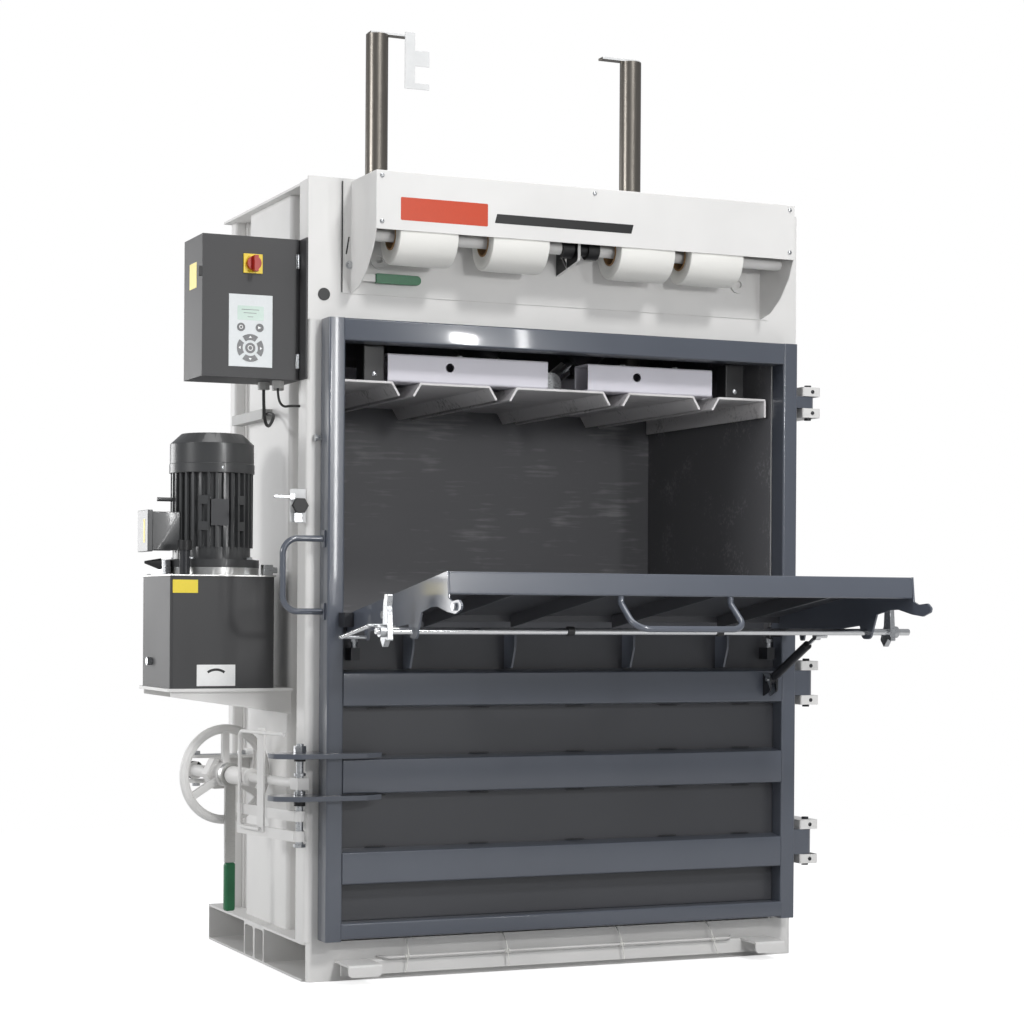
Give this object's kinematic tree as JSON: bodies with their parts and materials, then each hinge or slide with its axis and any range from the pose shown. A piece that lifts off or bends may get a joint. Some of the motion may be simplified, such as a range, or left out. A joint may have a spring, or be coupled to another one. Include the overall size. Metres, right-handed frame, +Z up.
{
  "type": "recycling baler",
  "caption": "Vertical recycling baler with swing door, feed flap, pressing ram, twine rolls, handwheel lock, power unit and control cabinet.",
  "frame": {"origin": "centre of the base footprint, on the floor", "axes": "+X right and -Y front as seen by the operator, +Z up"},
  "size_m": [1.7021, 1.5646, 2.386],
  "materials": {
    "base_frame": "satin white paint",
    "brake_lever": "green grip",
    "cabinet_box": "fine textured grey",
    "cabinet_door": "fine textured grey",
    "cable_duct": "grey",
    "cables": "sheathed",
    "chamber_floor": "worn paint",
    "control_gear": "moulded",
    "control_panel": "membrane",
    "cylinder_barrel_left": "grey paint",
    "cylinder_barrel_right": "grey paint",
    "cylinder_rod_left": "hard chrome",
    "cylinder_rod_right": "hard chrome",
    "door_fittings": "black",
    "door_frame": "satin slate grey",
    "door_handle": "satin slate grey",
    "door_hinge_blocks": "satin white paint",
    "door_panel": "satin slate grey",
    "flap_fittings": "zinc plated",
    "flap_handle": "satin slate grey",
    "flap_panel": "satin slate grey",
    "flap_side_plates": "satin slate grey",
    "guide_bushes": "black bearing plastic",
    "guide_tubes": "dark oiled steel",
    "handwheel": "white paint",
    "head_frame": "satin white paint",
    "latch_hooks": "zinc plated",
    "latch_rod": "zinc plated",
    "left_side_frame": "satin white paint",
    "limit_switch": "white with a black knob",
    "lock_anchor": "satin white paint",
    "lock_carrier": "white paint",
    "lock_guard": "white paint",
    "lock_hook_plates": "satin slate grey",
    "lock_pivot": "zinc plated",
    "lock_spindle": "white paint",
    "motor_cowl": "satin grey paint",
    "motor_fan": "moulded",
    "motor_housing": "grey paint",
    "oil_pump": "cast",
    "oil_tank": "satin dark grey paint",
    "power_shelf": "satin white paint",
    "ram_beams": "white paint",
    "ram_plate": "white paint, worn",
    "ratchet_lever": "grey lever with green grip",
    "rear_wall": "satin white paint",
    "right_side_frame": "satin white paint",
    "strut_rod": "polished",
    "strut_tube": "black gloss",
    "switch_knob": "red",
    "tank_fittings": "plated",
    "tank_lid": "machined",
    "terminal_box": "moulded",
    "twine_brackets": "grey paint",
    "twine_ends": "twine",
    "twine_hood": "satin white paint",
    "twine_roll_1": "wound twine",
    "twine_roll_2": "wound twine",
    "twine_roll_3": "wound twine",
    "twine_roll_4": "wound twine"
  },
  "bodies": {
    "frame": {"base_frame": "base_frame", "left_side_frame": "left_side_frame", "right_side_frame": "right_side_frame", "rear_wall": "rear_wall", "chamber_floor": "chamber_floor", "head_frame": "head_frame", "guide_bushes": "guide_bushes", "twine_hood": "twine_hood", "twine_brackets": "twine_brackets", "door_hinge_blocks": "door_hinge_blocks", "lock_anchor": "lock_anchor", "power_shelf": "power_shelf", "oil_tank": "oil_tank", "tank_lid": "tank_lid", "oil_pump": "oil_pump", "motor_housing": "motor_housing", "motor_cowl": "motor_cowl", "terminal_box": "terminal_box", "tank_fittings": "tank_fittings", "cabinet_box": "cabinet_box", "control_gear": "control_gear", "cables": "cables", "cable_duct": "cable_duct", "limit_switch": "limit_switch", "twine_ends": "twine_ends"},
    "roll_1": {"twine_roll_1": "twine_roll_1"},
    "roll_2": {"twine_roll_2": "twine_roll_2"},
    "roll_3": {"twine_roll_3": "twine_roll_3"},
    "roll_4": {"twine_roll_4": "twine_roll_4"},
    "brake": {"brake_lever": "brake_lever"},
    "ram": {"ram_plate": "ram_plate", "ram_beams": "ram_beams", "guide_tubes": "guide_tubes"},
    "rod_left": {"cylinder_rod_left": "cylinder_rod_left"},
    "rod_right": {"cylinder_rod_right": "cylinder_rod_right"},
    "barrel_left": {"cylinder_barrel_left": "cylinder_barrel_left"},
    "barrel_right": {"cylinder_barrel_right": "cylinder_barrel_right"},
    "door": {"door_frame": "door_frame", "door_panel": "door_panel", "door_handle": "door_handle", "door_fittings": "door_fittings", "lock_hook_plates": "lock_hook_plates", "lock_pivot": "lock_pivot"},
    "flap": {"flap_panel": "flap_panel", "flap_side_plates": "flap_side_plates", "flap_handle": "flap_handle", "flap_fittings": "flap_fittings"},
    "latch": {"latch_rod": "latch_rod", "latch_hooks": "latch_hooks"},
    "strut_cylinder": {"strut_tube": "strut_tube"},
    "strut_piston": {"strut_rod": "strut_rod"},
    "lock_arm": {"lock_carrier": "lock_carrier", "lock_guard": "lock_guard"},
    "lock_screw": {"lock_spindle": "lock_spindle", "handwheel": "handwheel"},
    "ratchet": {"ratchet_lever": "ratchet_lever"},
    "cabinet_lid": {"cabinet_door": "cabinet_door", "control_panel": "control_panel"},
    "main_switch": {"switch_knob": "switch_knob"},
    "fan": {"motor_fan": "motor_fan"}
  },
  "joints": [
    {"name": "ram_travel", "type": "slide", "parent": "frame", "child": "ram", "axis": [0, 0, -1], "range_m": [0, 0.44]},
    {"name": "rod_left_swing", "type": "hinge", "parent": "ram", "child": "rod_left", "pos_m": [-0.045, -0.2, 1.475], "axis": [0, 1, 0], "range_deg": [0, 21.8]},
    {"name": "rod_right_swing", "type": "hinge", "parent": "ram", "child": "rod_right", "pos_m": [0.045, -0.2, 1.475], "axis": [0, -1, 0], "range_deg": [0, 21.8]},
    {"name": "barrel_left_stroke", "type": "slide", "parent": "rod_left", "child": "barrel_left", "axis": [-0.7717, 0, 0.636], "range_m": [0, 0.354]},
    {"name": "barrel_right_stroke", "type": "slide", "parent": "rod_right", "child": "barrel_right", "axis": [0.7717, 0, 0.636], "range_m": [0, 0.354]},
    {"name": "door_swing", "type": "hinge", "parent": "frame", "child": "door", "pos_m": [0.69, -0.43, 0.8], "axis": [0, 0, 1], "range_deg": [0, 110]},
    {"name": "flap_swing", "type": "hinge", "parent": "door", "child": "flap", "pos_m": [0, -0.434, 0.845], "axis": [-1, 0, 0], "range_deg": [0, 81.4]},
    {"name": "latch_turn", "type": "hinge", "parent": "flap", "child": "latch", "pos_m": [0, -0.89, 0.845], "axis": [1, 0, 0], "range_deg": [0, 30]},
    {"name": "strut_swing", "type": "hinge", "parent": "door", "child": "strut_cylinder", "pos_m": [0.554, -0.487, 0.719], "axis": [-1, 0, 0], "range_deg": [0, 64]},
    {"name": "strut_stroke", "type": "slide", "parent": "strut_cylinder", "child": "strut_piston", "axis": [0, -0.8896, 0.4568], "range_m": [0, 0.148]},
    {"name": "lock_swing", "type": "hinge", "parent": "door", "child": "lock_arm", "pos_m": [-0.69, -0.418, 0.477], "axis": [0, 0, 1], "range_deg": [0, 75]},
    {"name": "handwheel_turn", "type": "hinge", "parent": "lock_arm", "child": "lock_screw", "pos_m": [-0.76303, -0.04916, 0.477], "axis": [-0.1942, 0.981, 0], "continuous": true},
    {"name": "ratchet_swing", "type": "hinge", "parent": "lock_arm", "child": "ratchet", "pos_m": [-0.75837, -0.0727, 0.477], "axis": [-0.1942, 0.981, 0], "range_deg": [-5, 60]},
    {"name": "cabinet_door_swing", "type": "hinge", "parent": "frame", "child": "cabinet_lid", "pos_m": [-0.679, -0.356, 1.6], "axis": [0, 0, 1], "range_deg": [0, 80]},
    {"name": "main_switch_turn", "type": "hinge", "parent": "cabinet_lid", "child": "main_switch", "pos_m": [-0.7945, -0.365, 1.713], "axis": [0, -1, 0], "range_deg": [0, 90]},
    {"name": "fan_turn", "type": "hinge", "parent": "frame", "child": "fan", "pos_m": [-0.809, -0.074, 1.25], "axis": [0, 0, 1], "continuous": true},
    {"name": "brake_swing", "type": "hinge", "parent": "frame", "child": "brake", "pos_m": [-0.55, -0.42, 1.688], "axis": [0, -1, 0], "range_deg": [0, 25]},
    {"name": "roll_1_turn", "type": "hinge", "parent": "frame", "child": "roll_1", "pos_m": [-0.426, -0.5, 1.78], "axis": [1, 0, 0], "continuous": true},
    {"name": "roll_2_turn", "type": "hinge", "parent": "frame", "child": "roll_2", "pos_m": [-0.188, -0.5, 1.78], "axis": [1, 0, 0], "continuous": true},
    {"name": "roll_3_turn", "type": "hinge", "parent": "frame", "child": "roll_3", "pos_m": [0.153, -0.5, 1.78], "axis": [1, 0, 0], "continuous": true},
    {"name": "roll_4_turn", "type": "hinge", "parent": "frame", "child": "roll_4", "pos_m": [0.346, -0.5, 1.78], "axis": [1, 0, 0], "continuous": true}
  ],
  "couplings": [
    {"joint": "rod_left_swing", "follows": "ram_travel", "rad_per_m": 0.84615},
    {"joint": "rod_right_swing", "follows": "ram_travel", "rad_per_m": 0.84615},
    {"joint": "barrel_left_stroke", "follows": "ram_travel", "ratio": 0.78134},
    {"joint": "barrel_right_stroke", "follows": "ram_travel", "ratio": 0.78134},
    {"joint": "strut_swing", "follows": "flap_swing", "ratio": 0.77175},
    {"joint": "strut_stroke", "follows": "flap_swing", "m_per_rad": 0.10316}
  ]
}
